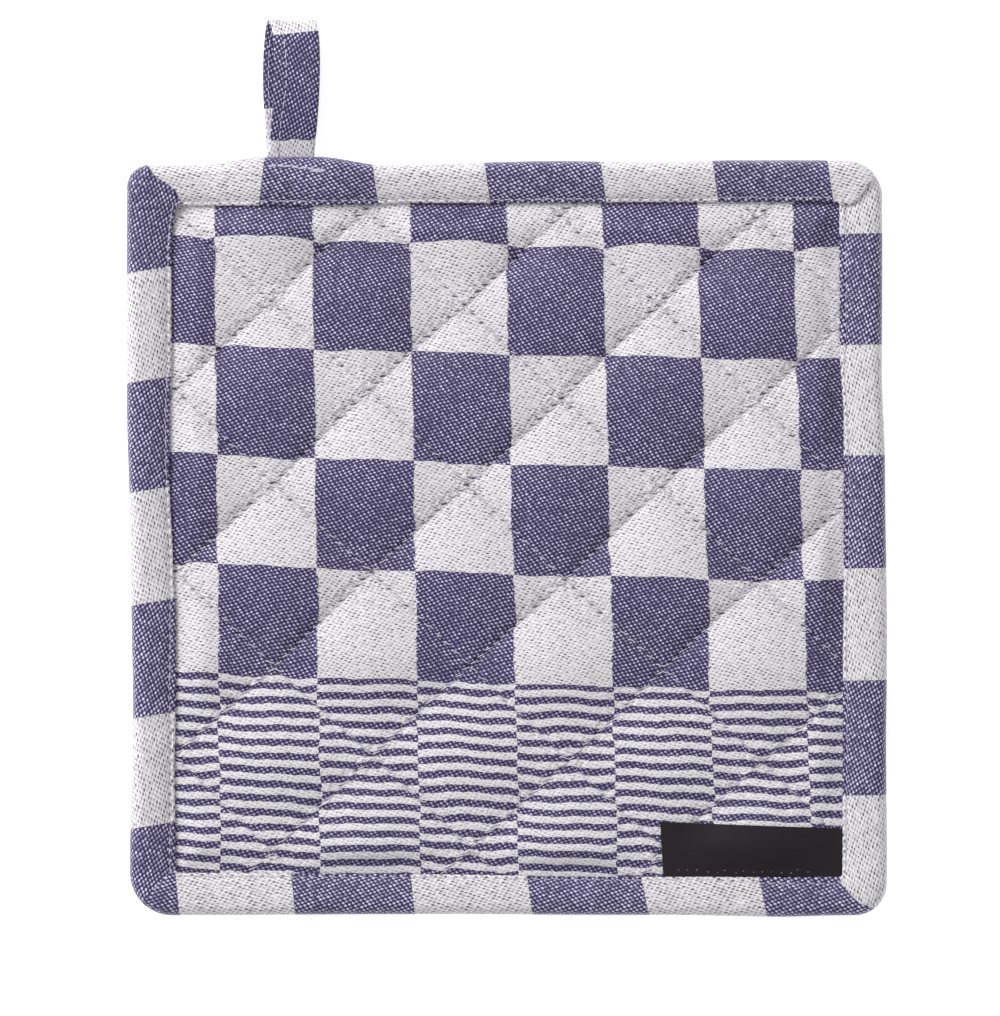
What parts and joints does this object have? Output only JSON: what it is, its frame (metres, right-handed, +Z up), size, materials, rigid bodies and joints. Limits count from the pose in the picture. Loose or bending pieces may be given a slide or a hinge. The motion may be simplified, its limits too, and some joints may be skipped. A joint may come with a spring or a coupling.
{
  "type": "quilted pot holder with hanging loop",
  "caption": "Square quilted cotton pot holder with a bound edge, mitred corners, a doubled tape hanging loop and a small sewn label, lying flat, face up.",
  "frame": {"origin": "middle of the base of the bounding box, on the surface that the pot holder lies on", "axes": "+Y from the quilted square towards the hanging loop, +X to the right seen from above, +Z up out of the face"},
  "size_m": [0.2, 0.2358, 0.011],
  "materials": {
    "quilted_check": "matt cotton damask woven in a navy and white check with a striped band",
    "binding_check": "the same cotton damask, cut as a strip of alternate navy and white blocks",
    "loop_check": "the same cotton damask, folded and edge-stitched",
    "label_satin": "black woven satin tape"
  },
  "bodies": {
    "root": {"quilted_pad": "quilted_check", "binding": "binding_check", "hanging_loop": "loop_check", "label": "label_satin"}
  },
  "joints": []
}
